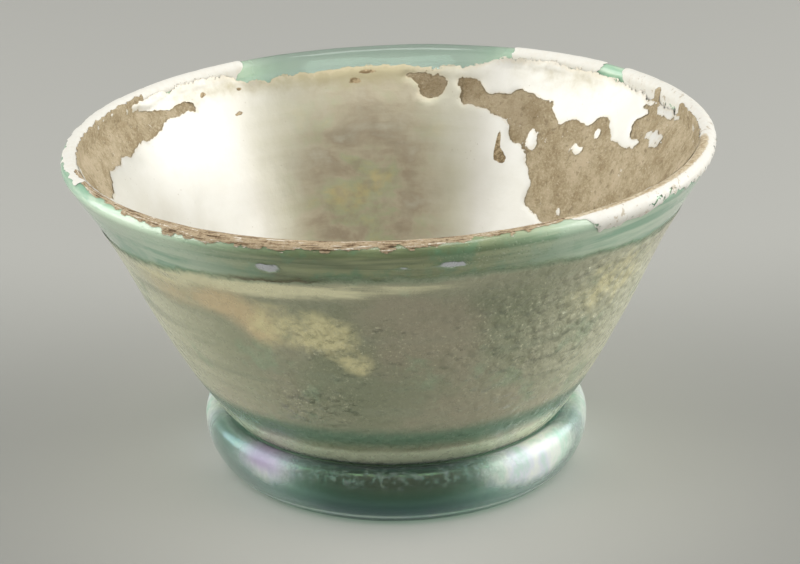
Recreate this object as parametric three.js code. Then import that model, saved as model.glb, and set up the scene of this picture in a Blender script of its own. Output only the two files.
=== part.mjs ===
// A Roman free-blown glass bowl on a tubular foot ring, with its weathering films and burial crust.
// Millimetres, +Z up. The origin is on the resting plane, on the axis of the rim.

import * as THREE from 'three';
import { mergeVertices } from 'three/addons/utils/BufferGeometryUtils.js';

// Overall sizes
const rimRadius = 60;
const bowlHeight = 63.8;

// Glass
const wall = 2.0;
const lipBead = 3.2;

// Foot ring: a hollow tube, leaning out towards its top
const footRadius = 36.35;
const footHeight = 11.8;
const footTube = 7.4;
const footLean = 1.5;
const footGlass = 1.3;
const footWornFlat = 0.35;
const footSlit = 0.4;

// Outline of the wall: the belly is measured from the foot's top and the neck from the lip.
// The waist bulges a little from the straight way between them, at a share of that way.
const baseLift = 6.6;
const baseKick = 1.2;
const baseCorner = 7;
const bellyRise = 7;
const bellyFlare = 0.95;
const waistPlace = 0.45;
const waistBulge = 0.57;
const neckDrop = 15;
const neckInset = 7.7;

// Mark of the iron under the base
const pontilRadius = 8;
const pontilWidth = 2.4;
const pontilDepth = 1.6;

// Weathering
const gap = 0.3;
const innerFilm = 0.5;
const outerFilm = 0.4;
const crust = 0.4;
const lipLayer = 0.45;
const edgeGap = 0.6;

// Unevenness of the free-blown glass: the foot is off the rim's axis and the rim is not level
const footDrift = 1.1;
const rimTilt = 0.0215;

// Angles are in degrees, anticlockwise from +X, with the front at 270
const turnSteps = 48;
const wallSteps = 15;
const lipSteps = 7;
const deg = Math.PI / 180;

// The tube's outline: a squarish oval, flattened where it stands. A positive inset goes into the glass.
function tubePoint(angle, inset) {
  const squareness = 0.85;
  const halfWidth = footTube / 2 - inset;
  const halfHeight = footHeight / 2 - inset;
  const c = Math.sign(Math.cos(angle)) * Math.abs(Math.cos(angle)) ** squareness;
  const s = Math.sign(Math.sin(angle)) * Math.abs(Math.sin(angle)) ** squareness;
  const radius = footRadius - footTube / 2 + halfWidth * c + footLean * s;
  const height = footHeight / 2 + halfHeight * s;
  const floor = inset > 0 ? footGlass + footWornFlat : footWornFlat;
  return new THREE.Vector2(radius, Math.max(floor, height) - footWornFlat);
}

// The bowl sits in the inner shoulder of the tube
const seatAngle = 140 * deg;
const seatSpread = 1.3;
const seatOffset = new THREE.Vector2(Math.cos(seatAngle), Math.sin(seatAngle)).multiplyScalar(gap * seatSpread);
const seat = tubePoint(seatAngle, 0).add(seatOffset);

// The outline of the outside of the glass, from the axis under the base up to the lip's bead
const beadRadius = lipBead / 2;
const bead = new THREE.Vector2(rimRadius - beadRadius, bowlHeight - beadRadius);
const beadStart = -38 * deg;
const beadEnd = 165 * deg;
const belly = new THREE.Vector2(footRadius + bellyFlare, footHeight + bellyRise);
const neck = new THREE.Vector2(rimRadius - neckInset, bowlHeight - neckDrop);
const waist = belly.clone().lerp(neck, waistPlace).add(new THREE.Vector2(waistBulge, 0));
const outlinePoints = [
  new THREE.Vector2(0, baseLift + baseKick),
  new THREE.Vector2(seat.x * 0.5, baseLift + baseKick * 0.6),
  new THREE.Vector2(seat.x - baseCorner, baseLift + baseKick * 0.4),
  seat,
  belly,
  waist,
  neck,
  beadPoint(beadStart, 0),
];
const outside = new THREE.CatmullRomCurve3(
  outlinePoints.map((point) => new THREE.Vector3(point.x, point.y, 0)),
  false,
  'centripetal',
);

function beadPoint(angle, lift) {
  const reach = beadRadius + lift;
  return new THREE.Vector2(bead.x + reach * Math.cos(angle), bead.y + reach * Math.sin(angle));
}

// A station of the outline, at a depth inside the outside of the glass; a negative depth is outside it
const stations = spread(0, 1, wallSteps);
function stationPoint(k, depth) {
  const point = outside.getPoint(stations[k]);
  const along = outside.getTangent(stations[k]);
  if (k === 0) return new THREE.Vector2(0, point.y + depth);
  return new THREE.Vector2(point.x - along.y * depth, point.y + along.x * depth);
}

// A point between the stations, on the straight line between them, so that all the layers run parallel
function wallPoint(u, depth) {
  const k = Math.min(Math.floor(u * wallSteps), wallSteps - 1);
  return stationPoint(k, depth).lerp(stationPoint(k + 1, depth), u * wallSteps - k);
}

// The place along the outline where a surface at this depth reaches a height on the wall
function placeAtHeight(height, depth) {
  let low = 0.45;
  let high = 1;
  for (let i = 0; i < 30; i++) {
    const middle = (low + high) / 2;
    if (wallPoint(middle, depth).y < height) low = middle;
    else high = middle;
  }
  return low;
}

function spread(from, to, steps) {
  return Array.from({ length: steps + 1 }, (_, i) => from + ((to - from) * i) / steps);
}

// The free-blown shape: the foot drifts off the axis and the rim tilts
function settle(geometry) {
  const place = geometry.getAttribute('position');
  for (let i = 0; i < place.count; i++) {
    const rise = place.getZ(i) / bowlHeight;
    place.setZ(i, place.getZ(i) + rimTilt * place.getX(i) * Math.max(0, rise) ** 3);
    place.setX(i, place.getX(i) + footDrift * (1 - rise) ** 3);
  }
  return geometry;
}

// Sweeps a closed outline about the axis. The outline may change with the angle.
// A part turn gets an end cap of strips, which joins the outline's points from both ends inwards.
function sweep(outlineAt, from, to, steps) {
  const whole = to - from === 360;
  const angles = spread(from, to, steps);
  const rings = angles.slice(0, whole ? steps : steps + 1).map((angle) => outlineAt(angle));
  const count = rings[0].length;
  const places = [];
  rings.forEach((ring, k) => {
    const turn = angles[k] * deg;
    for (const p of ring) places.push(p.x * Math.cos(turn), p.x * Math.sin(turn), p.y);
  });
  const faces = [];
  const quad = (a, b, c, d) => faces.push(a, b, c, a, c, d);
  const bands = whole ? rings.length : rings.length - 1;
  for (let k = 0; k < bands; k++) {
    const here = k * count;
    const next = ((k + 1) % rings.length) * count;
    for (let i = 0; i < count; i++) {
      const j = (i + 1) % count;
      quad(here + i, next + i, next + j, here + j);
    }
  }
  if (!whole) {
    const last = (rings.length - 1) * count;
    for (let i = 0; i < count / 2 - 1; i++) {
      quad(i, i + 1, count - 2 - i, count - 1 - i);
      quad(last + i, last + count - 1 - i, last + count - 2 - i, last + i + 1);
    }
  }
  const geometry = new THREE.BufferGeometry();
  geometry.setAttribute('position', new THREE.Float32BufferAttribute(places, 3));
  geometry.setIndex(faces);
  return settle(withoutSlivers(mergeVertices(geometry, 1e-4)));
}

// Drops the empty triangles that an outline makes where it lies on the axis
function withoutSlivers(geometry) {
  const index = Array.from(geometry.getIndex().array);
  const kept = [];
  for (let i = 0; i < index.length; i += 3) {
    const [a, b, c] = index.slice(i, i + 3);
    if (a !== b && b !== c && c !== a) kept.push(a, b, c);
  }
  geometry.setIndex(kept);
  return geometry;
}

// A strip of a layer on the wall, from one height to another, between two depths.
// The stations beyond its ends close up on the ends.
function wallLayer(lowHeight, highHeight, near, far) {
  const from = lowHeight === null ? 0 : placeAtHeight(lowHeight, near);
  const to = placeAtHeight(highHeight, near);
  const places = stations.map((u) => THREE.MathUtils.clamp(u, from, to));
  const outer = places.map((u) => wallPoint(u, near));
  const inner = places.map((u) => wallPoint(u, far));
  return [...outer, ...inner.reverse()];
}

// A strip of a layer on the lip's bead, between two angles about the bead
function lipStrip(fromAngle, toAngle, steps) {
  const angles = spread(fromAngle, toAngle, steps);
  const under = angles.map((angle) => beadPoint(angle * deg, gap));
  const over = angles.map((angle) => beadPoint(angle * deg, gap + lipLayer));
  return [...over, ...under.reverse()];
}

// A ragged line: a few waves about a level
function ragged(angle, level, height, seed) {
  const wave = Math.sin(angle * deg * 7 + seed) + 0.6 * Math.sin(angle * deg * 17 + seed * 2.3);
  return level + (height * wave) / 1.6;
}

// Fades from 0 at both ends of a span to 1 inside it
function within(angle, from, to, fade) {
  return THREE.MathUtils.smoothstep(Math.min(angle - from, to - angle), 0, fade);
}

// The three crust patches hang this far below their top edge, and the film ends level with them
const crustTop = bowlHeight - 5;
const filmTop = bowlHeight - 6;
const leastDepth = 4;
const crustSpans = {
  right: { from: -38, to: 57, depth: 24, fade: 28, seed: 1 },
  rear: { from: 61, to: 87, depth: 6, fade: 8, seed: 2 },
  left: { from: 132, to: 194, depth: 6.5, fade: 14, seed: 4 },
};

function crustFloor(angle, span) {
  const shape = within(angle, span.from, span.to, span.fade);
  return ragged(angle, crustTop - leastDepth - (span.depth - leastDepth) * shape, 0.6, span.seed);
}

function crustPatch(span) {
  const outlineAt = (angle) =>
    wallLayer(crustFloor(angle, span), crustTop, wall + gap, wall + gap + crust);
  return sweep(outlineAt, span.from, span.to, Math.round((span.to - span.from) / 6));
}

// The film stops short of each crust patch by the edge gap
function filmEdge(angle) {
  let edge = filmTop;
  for (const span of Object.values(crustSpans)) {
    for (const turn of [angle, angle - 360]) {
      const margin = 4;
      if (turn > span.from - margin && turn < span.to + margin) {
        const inside = THREE.MathUtils.clamp(turn, span.from, span.to);
        edge = Math.min(edge, crustFloor(inside, span) - edgeGap - margin * 0.3);
      }
    }
  }
  return edge;
}

const bowlBody = () => {
  const outer = stations.map((u) => wallPoint(u, 0));
  const rolled = spread(beadStart, beadEnd, lipSteps).slice(1, -1).map((angle) => beadPoint(angle, 0));
  const innerEnd = 0.97;
  const inner = stations.map((u) => wallPoint(Math.min(u, innerEnd), wall)).reverse();
  return sweep(() => [...outer, ...rolled, ...inner], 0, 360, turnSteps);
};

const footRing = () => {
  const slit = 196 * deg;
  const halfSlit = footSlit / footHeight;
  const flatFrom = -108 * deg;
  const flatTo = -72 * deg;
  const inwardSide = spread(slit + halfSlit - 2 * Math.PI, flatFrom, 3);
  const outwardSide = spread(flatTo, slit - halfSlit, 11);
  const angles = [...inwardSide, ...outwardSide];
  const outer = angles.map((angle) => tubePoint(angle, 0));
  const inner = angles.map((angle) => tubePoint(angle, footGlass)).reverse();
  return sweep(() => [...outer, ...inner], 0, 360, turnSteps);
};

const pontilScar = () => {
  const half = pontilWidth / 2;
  const outlineAt = (angle) => {
    const roof = (radius) => undersideAt(radius) - gap;
    const bite = 1 + 0.18 * Math.sin(angle * deg * 5) + 0.12 * Math.sin(angle * deg * 11);
    const bottom = roof(pontilRadius) - pontilDepth * bite;
    return [
      new THREE.Vector2(pontilRadius - half * 0.5, bottom),
      new THREE.Vector2(pontilRadius + half * 0.4, bottom),
      new THREE.Vector2(pontilRadius + half, roof(pontilRadius + half)),
      new THREE.Vector2(pontilRadius - half, roof(pontilRadius - half)),
    ];
  };
  return sweep(outlineAt, 0, 360, turnSteps / 2);
};

// The height of the underside of the base at a radius
function undersideAt(radius) {
  let low = 0;
  let high = 0.4;
  for (let i = 0; i < 30; i++) {
    const middle = (low + high) / 2;
    if (wallPoint(middle, 0).x < radius) low = middle;
    else high = middle;
  }
  return wallPoint(low, 0).y;
}

const innerFilmShell = () => {
  const outlineAt = (angle) => wallLayer(null, filmEdge(angle), wall + gap, wall + gap + innerFilm);
  return sweep(outlineAt, 0, 360, turnSteps);
};

const outerFilmShell = () => {
  const outlineAt = (angle) => {
    const top = ragged(angle, bowlHeight - 9, 1.2, 3);
    return wallLayer(footHeight + 6, top, -gap, -gap - outerFilm).reverse();
  };
  return sweep(outlineAt, 0, 360, turnSteps);
};

const rimSoilFront = () => {
  const outlineAt = (angle) => lipStrip(ragged(angle, 50, 12, 5), ragged(angle, 128, 8, 6), 4);
  return sweep(outlineAt, 195, 296, 20);
};

const lipEnamelRight = () => {
  const outlineAt = (angle) => lipStrip(ragged(angle, -25, 14, 7), ragged(angle, 118, 8, 8), 5);
  return sweep(outlineAt, 302, 390, 18);
};

const lipEnamelRear = () => {
  const outlineAt = (angle) => lipStrip(35, ragged(angle, 168, 6, 9), 5);
  return sweep(outlineAt, 40, 66, 8);
};

const lipEnamelLeft = () => {
  const outlineAt = (angle) => lipStrip(55, ragged(angle, 160, 8, 10), 5);
  return sweep(outlineAt, 122, 190, 14);
};

const finishes = {
  glass: new THREE.MeshStandardMaterial({ color: 0x8fb8a8, roughness: 0.08, metalness: 0 }),
  film: new THREE.MeshStandardMaterial({ color: 0xe9e7df, roughness: 0.3, metalness: 0.1 }),
  olive: new THREE.MeshStandardMaterial({ color: 0x9a9d7c, roughness: 0.4, metalness: 0.1 }),
  crust: new THREE.MeshStandardMaterial({ color: 0xb09a78, roughness: 0.95, metalness: 0 }),
  enamel: new THREE.MeshStandardMaterial({ color: 0xf2f0ea, roughness: 0.5, metalness: 0 }),
};

const bowl = new THREE.Group();

function add(name, geometry, finish) {
  const mesh = new THREE.Mesh(geometry, finishes[finish].clone());
  mesh.name = name;
  bowl.add(mesh);
}

add('bowl_body', bowlBody(), 'glass');
add('foot_ring', footRing(), 'glass');
add('pontil_scar', pontilScar(), 'glass');
add('inner_film', innerFilmShell(), 'film');
add('outer_film', outerFilmShell(), 'olive');
add('soil_crust_right', crustPatch(crustSpans.right), 'crust');
add('soil_crust_rear', crustPatch(crustSpans.rear), 'crust');
add('soil_crust_left', crustPatch(crustSpans.left), 'crust');
add('rim_soil_front', rimSoilFront(), 'crust');
add('lip_enamel_right', lipEnamelRight(), 'enamel');
add('lip_enamel_rear', lipEnamelRear(), 'enamel');
add('lip_enamel_left', lipEnamelLeft(), 'enamel');

export default bowl;
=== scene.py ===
# A free-blown glass bowl on a tubular foot ring, with its weathering films and burial crust.
# Metres, +Z up. Angles are in degrees, anticlockwise from +X seen from above, with the front at 270.
import math
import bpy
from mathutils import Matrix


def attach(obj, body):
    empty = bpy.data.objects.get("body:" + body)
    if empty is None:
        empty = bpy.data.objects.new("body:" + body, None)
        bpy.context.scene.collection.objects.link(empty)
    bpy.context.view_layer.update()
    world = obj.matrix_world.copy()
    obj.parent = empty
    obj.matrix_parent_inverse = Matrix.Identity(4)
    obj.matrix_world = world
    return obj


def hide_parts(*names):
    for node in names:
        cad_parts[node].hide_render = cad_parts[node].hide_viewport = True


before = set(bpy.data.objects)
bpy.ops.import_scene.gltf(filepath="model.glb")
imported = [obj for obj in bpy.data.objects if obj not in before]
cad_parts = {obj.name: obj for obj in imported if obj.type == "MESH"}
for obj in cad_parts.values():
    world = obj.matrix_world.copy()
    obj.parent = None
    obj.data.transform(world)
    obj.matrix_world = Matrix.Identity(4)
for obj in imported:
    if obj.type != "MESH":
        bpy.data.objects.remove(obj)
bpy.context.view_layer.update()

from types import SimpleNamespace

import bmesh
import bpy
import numpy as np
from mathutils import Matrix, Vector, noise

bl_info = {
    "name": "Blown glass bowl",
    "version": (1, 0, 0),
    "blender": (4, 5, 0),
    "location": "View3D > Sidebar > Bowl",
    "description": "Builds a weathered free-blown glass bowl on a tubular foot ring",
    "category": "Object",
}

MM = 0.001
FRONT = 270

# Rise of the rim towards +X, as a share of the distance
RIM_TILT = 0.0215

# Radius at which a turn on the wall or on the lip is measured as a length
WALL_REACH = 52 * MM
LIP_REACH = 60 * MM


def srgb(red, green, blue):
    """A colour on the 0 to 255 display scale, as the linear values that a material holds."""

    def linear(value):
        share = value / 255
        return share / 12.92 if share <= 0.04045 else ((share + 0.055) / 1.055) ** 2.4

    return linear(red), linear(green), linear(blue)


# Sizes and colours that a user would change


def length(name, description, default):
    return bpy.props.FloatProperty(
        name=name, description=description, default=default, unit="LENGTH", precision=5
    )


def colour(name, description, *value):
    return bpy.props.FloatVectorProperty(
        name=name, description=description, default=srgb(*value), subtype="COLOR", min=0, max=1
    )


class BowlSizes(bpy.types.PropertyGroup):
    """Sizes of the glass and of the layers on it"""

    rim_radius: length("Rim radius", "Outer radius of the lip", 0.060)
    height: length("Height", "Height of the middle of the lip", 0.0638)
    wall: length("Wall", "Thickness of the bowl's glass", 0.0020)
    bead: length("Lip bead", "Thickness of the fire-rounded lip", 0.0032)
    foot_radius: length("Foot radius", "Outer radius of the foot ring", 0.03635)
    foot_height: length("Foot height", "Height of the foot ring", 0.0118)
    foot_tube: length("Foot tube", "Width of the foot ring's tube", 0.0074)
    foot_lean: length("Foot lean", "How far the tube leans out at its top", 0.0015)
    foot_glass: length("Foot glass", "Thickness of the foot ring's glass", 0.0013)
    foot_drift: length("Foot drift", "How far the foot is off the axis of the rim", 0.0011)
    film: length("Film", "Thickness of the white film inside", 0.00055)
    crust: length("Crust", "Thickness of the brown crust", 0.00032)
    outer_film: length("Outer film", "Thickness of the olive film outside", 0.00022)
    cell: length("Cell", "Spacing of the points of a fine skin", 0.00070)


class BowlColours(bpy.types.PropertyGroup):
    """Colours of the glass and of the layers on it"""

    glass: colour("Glass", "Body colour of the bowl's glass", 212, 232, 222)
    foot_glass: colour("Foot glass", "Body colour of the foot ring", 196, 216, 206)
    pearl: colour("Pearl", "Silver-white film inside", 222, 219, 208)
    cream: colour("Cream", "Cream parts of the film", 168, 158, 124)
    olive: colour("Olive", "Olive film outside", 158, 162, 130)
    crust: colour("Crust", "Brown burial crust", 200, 184, 152)
    dark_crust: colour("Dark crust", "Hollows and streaks of the crust", 158, 138, 104)
    enamel: colour("Enamel", "Thick white film on the lip", 236, 233, 222)
    floor: colour("Floor", "Pale floor", 178, 177, 170)


def sizes():
    return bpy.context.scene.bowl_sizes


def colours():
    return bpy.context.scene.bowl_colours


# The section of the glass


def centripetal(points, count):
    """Points along a centripetal Catmull-Rom curve through the given points."""
    points = [np.array(point, float) for point in points]
    padded = [2 * points[0] - points[1], *points, 2 * points[-1] - points[-2]]
    curve = []
    for place in np.linspace(0, len(points) - 1, count):
        i = min(int(place), len(points) - 2)
        t = place - i
        p0, p1, p2, p3 = padded[i : i + 4]
        d0, d1, d2 = (np.linalg.norm(b - a) ** 0.5 for a, b in ((p0, p1), (p1, p2), (p2, p3)))
        out = d1 * ((p1 - p0) / d0 - (p2 - p0) / (d0 + d1) + (p2 - p1) / d1)
        into = d1 * ((p2 - p1) / d1 - (p3 - p1) / (d1 + d2) + (p3 - p2) / d2)
        square = 3 * (p2 - p1) - 2 * out - into
        cube = 2 * (p1 - p2) + out + into
        curve.append(p1 + out * t + square * t**2 + cube * t**3)
    return np.array(curve)


def tube_point(turn, inset=0.0, squareness=0.85):
    """A point of the foot tube's section: a squarish oval, flattened where it stands."""
    s = sizes()
    worn = 0.35 * MM
    across, up = (math.copysign(abs(x) ** squareness, x) for x in (math.cos(turn), math.sin(turn)))
    radius = s.foot_radius - s.foot_tube / 2 + (s.foot_tube / 2 - inset) * across + s.foot_lean * up
    height = s.foot_height / 2 + (s.foot_height / 2 - inset) * up
    floor = worn if inset == 0 else worn + s.foot_glass
    return radius, max(floor, height) - worn


class Section:
    """The bowl's section as a path over the glass: its way runs up the outside from the middle of the base,
    is 0 on top of the lip, and runs down the inside to the middle of the floor."""

    outline_points = 500
    inner_points = 488
    bead_points = 60

    def __init__(self):
        s = sizes()
        reach = s.bead / 2
        middle = np.array((s.rim_radius - reach, s.height - reach))

        def direction(degrees):
            turn = math.radians(degrees)
            return np.array((math.cos(turn), math.sin(turn)))

        def bead(degrees):
            return middle + reach * direction(degrees)

        seat_turn = 140
        foot_gap = 0.39 * MM
        seat = np.array(tube_point(math.radians(seat_turn))) + foot_gap * direction(seat_turn)
        belly = np.array((s.foot_radius + 0.95 * MM, s.foot_height + 7 * MM))
        neck = np.array((s.rim_radius - 7.7 * MM, s.height - 15 * MM))
        waist = belly + (neck - belly) * 0.45 + np.array((0.57 * MM, 0))
        base = 6.6 * MM
        kick = 1.2 * MM
        outline = centripetal(
            [
                (0, base + kick),
                (seat[0] * 0.5, base + kick * 0.6),
                (seat[0] - 7 * MM, base + kick * 0.4),
                seat,
                belly,
                waist,
                neck,
                bead(-38),
            ],
            self.outline_points,
        )
        along = np.gradient(outline, axis=0)
        along /= np.linalg.norm(along, axis=1)[:, None]
        inwards = np.stack((-along[:, 1], along[:, 0]), 1)
        inner = (outline + s.wall * inwards)[: self.inner_points][::-1]
        inner[-1, 0] = 0
        rolled = np.array([bead(degrees) for degrees in np.linspace(-34, 160, self.bead_points)])
        path = np.vstack((outline, rolled, inner))
        steps = np.linalg.norm(np.diff(path, axis=0), axis=1)
        way = np.concatenate(([0], np.cumsum(steps)))
        top = len(outline) + int(np.argmax(rolled[:, 1]))
        self.way = way - way[top]
        self.path = self.smooth(path)
        along = np.gradient(self.path, self.way, axis=0)
        along /= np.linalg.norm(along, axis=1)[:, None]
        self.normal = np.stack((along[:, 1], -along[:, 0]), 1)
        self.height = s.height
        self.drift = s.foot_drift

    def smooth(self, path):
        """Evens out the small corner where the bead runs into the inner wall."""
        even = np.linspace(self.way[0], self.way[-1], len(path))
        values = np.stack([np.interp(even, self.way, path[:, k]) for k in (0, 1)], 1)
        weights = np.array([1, 2, 3, 2, 1]) / 9
        for k in (0, 1):
            values[2:-2, k] = np.convolve(values[:, k], weights, "valid")
        self.way = even
        return values

    def point(self, way, lift):
        """Radius and height at a way, lifted off the glass."""
        radius, height = (
            np.interp(way, self.way, self.path[:, k]) + lift * np.interp(way, self.way, self.normal[:, k])
            for k in (0, 1)
        )
        return np.maximum(radius, 0), height

    def inside(self, height):
        """The way at a height on the inside of the wall."""
        half = self.way > 3 * MM
        return np.interp(height, self.path[half, 1][::-1], self.way[half][::-1])

    def outside(self, height):
        """The way at a height on the outside of the wall."""
        half = (self.way < -2 * MM) & (self.path[:, 0] > 32 * MM)
        return np.interp(height, self.path[half, 1], self.way[half])

    def settle(self, radius, height, angle):
        """Places in space, with the rim's tilt and the foot's drift."""
        turn = np.radians(angle)
        x = radius * np.cos(turn)
        y = radius * np.sin(turn)
        rise = height / self.height
        z = height + RIM_TILT * x * np.maximum(0, rise) ** 3
        return np.stack((x + self.drift * (1 - rise) ** 3, y, z), 1)

    def place(self, radius, height, angle):
        """One place in space."""
        return self.settle(*(np.array([value]) for value in (radius, height, angle)))[0]


# Making meshes and skins


def noise_at(places, size, seed=0.0, octaves=3):
    """Smooth noise at places, from about -1 to 1, with features of about the given size."""
    shift = Vector((seed * 7.3, seed * 3.1, seed * 5.7))
    return np.array([noise.fractal(Vector(p) / size + shift, 1.0, 2.0, octaves) for p in places.tolist()])


def smoothstep(value, low, high):
    share = np.clip((value - low) / (high - low), 0, 1)
    return share * share * (3 - 2 * share)


def turned(angle, centre):
    """Angles within half a turn of a centre."""
    return (angle - centre + 180) % 360 - 180 + centre


def bell(value, centre, spread, power=2):
    """1 at the centre and nearly 0 beyond twice the spread, with a flatter top at a higher power."""
    return np.exp(-(((value - centre) / spread) ** power))


def towards(angle, centre, spread, power=2):
    """A bell about a direction."""
    return bell(turned(angle, centre), centre, spread, power)


def within(angle, centre, full, none):
    """1 up to one angle from the centre, falling to 0 at a wider one."""
    return smoothstep(-np.abs(turned(angle, centre) - centre), -none, -full)


def blob(skin, angle, height, spread, rise):
    """A soft spot about an angle in degrees and a height in millimetres."""
    across = (turned(skin.angle, angle) - angle) / spread
    up = (skin.height / MM - height) / rise
    return np.exp(-(across**2) - up**2)


def spotted(skin, rows):
    """The sum of soft spots, each with its strength, angle, height, spread and rise."""
    return sum(strength * blob(skin, *spot) for strength, *spot in rows)


def reach_into(skin, outline):
    """Signed distance in metres to an outline of (angle, way) points on the skin, positive inside it."""
    corners = np.array(outline, float)
    centre = corners[:, 0].mean()
    across = np.radians(turned(skin.angle, centre) - centre) * skin.reach
    points = np.stack((across, skin.way), 1)
    ring = np.stack((np.radians(corners[:, 0] - centre) * skin.reach, corners[:, 1]), 1)
    nearest = np.full(len(points), np.inf)
    inside = np.zeros(len(points), bool)
    for a, b in zip(ring, np.roll(ring, -1, axis=0)):
        edge = b - a
        share = np.clip((points - a) @ edge / (edge @ edge), 0, 1)
        gap = np.linalg.norm(points - a - share[:, None] * edge, axis=1)
        nearest = np.minimum(nearest, gap)
        crosses = (a[1] > points[:, 1]) != (b[1] > points[:, 1])
        with np.errstate(divide="ignore", invalid="ignore"):
            at = a[0] + (points[:, 1] - a[1]) * edge[0] / edge[1]
        inside ^= crosses & (points[:, 0] < at)
    return np.where(inside, nearest, -nearest)


def float_layers(bm, *names):
    """New layers of one number a point, by name."""
    return {name: bm.verts.layers.float.new(name) for name in names}


def spin(bm, geom, turn, steps, whole=True):
    """Turns points and edges about the axis."""
    bmesh.ops.spin(
        bm,
        geom=geom,
        cent=(0, 0, 0),
        axis=(0, 0, 1),
        dvec=(0, 0, 0),
        angle=turn,
        steps=steps,
        use_merge=whole,
    )


def divide(bm, cuts):
    bmesh.ops.subdivide_edges(bm, edges=bm.edges[:], cuts=cuts, use_grid_fill=True)


def merge(bm):
    bmesh.ops.remove_doubles(bm, verts=bm.verts[:], dist=1e-7)


def face_outwards(bm):
    bmesh.ops.recalc_face_normals(bm, faces=bm.faces[:])


def turn_profile(points, steps, closed=False):
    """Turns a profile of radius and height once about the axis."""
    bm = bmesh.new()
    verts = [bm.verts.new((radius, 0, height)) for radius, height in points]
    pairs = list(zip(verts, verts[1:]))
    if closed:
        pairs.append((verts[-1], verts[0]))
    edges = [bm.edges.new(pair) for pair in pairs]
    spin(bm, verts + edges, math.tau, steps)
    face_outwards(bm)
    return bm


def mesh_of(bm, smooth=True):
    """The finished mesh, shaded smooth or flat."""
    for face in bm.faces:
        face.smooth = smooth
    mesh = bpy.data.meshes.new("piece")
    bm.to_mesh(mesh)
    bm.free()
    return mesh


class Skin:
    """A thin closed shell on the glass between two ways and two angles, finely divided.
    Its front can be lifted point by point, and its back lies close on the glass.
    A fit gives the two ways as they change with the angle."""

    cuts = 3

    def __init__(self, section, ways, angles, cell, fit, reach=WALL_REACH):
        self.section = section
        self.reach = reach
        self.mesh = self.shell(ways, angles, cell)
        self.front = self.read("face_out")
        start = self.places()
        self.angle = turned(np.degrees(np.arctan2(start[:, 1], start[:, 0])), (angles[0] + angles[1]) / 2)
        share = (self.read("way") - ways[0]) / (ways[1] - ways[0])
        low, high = fit(self.angle)
        self.way = low + share * (high - low)
        self.height = section.point(self.way, 0)[1]
        self.flat = section.settle(*section.point(self.way, 0), self.angle)

    def shell(self, ways, angles, cell):
        """The mesh, which keeps each point's way and whether it is on the front."""
        coarse = cell * (self.cuts + 1)
        count = max(2, math.ceil(abs(ways[1] - ways[0]) / coarse))
        places = [(way, 1.0) for way in np.linspace(ways[0], ways[1], count + 1)]
        places += [(way, 0.0) for way in np.linspace(ways[1], ways[0], max(2, count // 3) + 1)]
        bm = bmesh.new()
        layers = float_layers(bm, "way", "face_out")
        profile = []
        for way, front in places:
            radius, height = self.section.point(way, front * 0.3 * MM)
            vert = bm.verts.new((radius, 0, height))
            vert[layers["way"]] = way
            vert[layers["face_out"]] = front
            profile.append(vert)
        edges = [bm.edges.new(pair) for pair in zip(profile, profile[1:] + profile[:1])]
        start = Matrix.Rotation(math.radians(angles[0]), 3, "Z")
        bmesh.ops.rotate(bm, verts=profile, cent=(0, 0, 0), matrix=start)
        turn = math.radians(angles[1] - angles[0])
        whole = bool(angles[1] - angles[0] >= 360)
        spin(bm, profile + edges, turn, max(3, math.ceil(turn * self.reach / coarse)), whole)
        divide(bm, self.cuts)
        if ways[1] >= self.section.way[-1]:
            merge(bm)
        if not whole:
            bmesh.ops.holes_fill(bm, edges=[edge for edge in bm.edges if edge.is_boundary], sides=0)
        face_outwards(bm)
        return mesh_of(bm)

    def places(self):
        values = np.empty(len(self.mesh.vertices) * 3)
        self.mesh.vertices.foreach_get("co", values)
        return values.reshape(-1, 3)

    def read(self, name):
        values = np.empty(len(self.mesh.vertices))
        self.mesh.attributes[name].data.foreach_get("value", values)
        return values

    def write(self, **layers):
        """Keeps values for each point, which the material reads by name."""
        for name, values in layers.items():
            layer = self.mesh.attributes.new(name, "FLOAT", "POINT")
            layer.data.foreach_set("value", np.asarray(values, np.float32))

    def lift(self, front, back=0.06 * MM):
        """Places the front and the back of the skin off the glass."""
        lift = back + (front - back) * self.front
        radius, height = self.section.point(self.way, lift)
        self.mesh.vertices.foreach_set("co", self.section.settle(radius, height, self.angle).ravel())
        self.mesh.attributes.remove(self.mesh.attributes["way"])
        self.mesh.update()


def finish_piece(mesh, name, nodes, material):
    """Puts a mesh in the scene as a piece that stands for CAD nodes."""
    mesh.name = name
    piece = bpy.data.objects.new(name, mesh)
    bpy.context.scene.collection.objects.link(piece)
    mesh.materials.append(material)
    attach(piece, "root")
    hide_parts(*nodes)


# Materials


class Value:
    """A number that varies over a surface, written as an expression."""

    def __init__(self, paint, socket):
        self.paint = paint
        self.socket = socket

    def math(self, operation, *terms):
        return self.paint.node("ShaderNodeMath", {"operation": operation}, dict(enumerate(terms)))

    def __add__(self, other):
        return self.math("ADD", self, other)

    def __sub__(self, other):
        return self.math("SUBTRACT", self, other)

    def __rsub__(self, other):
        return self.math("SUBTRACT", other, self)

    def __mul__(self, other):
        return self.math("MULTIPLY", self, other)

    __radd__ = __add__
    __rmul__ = __mul__


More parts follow.
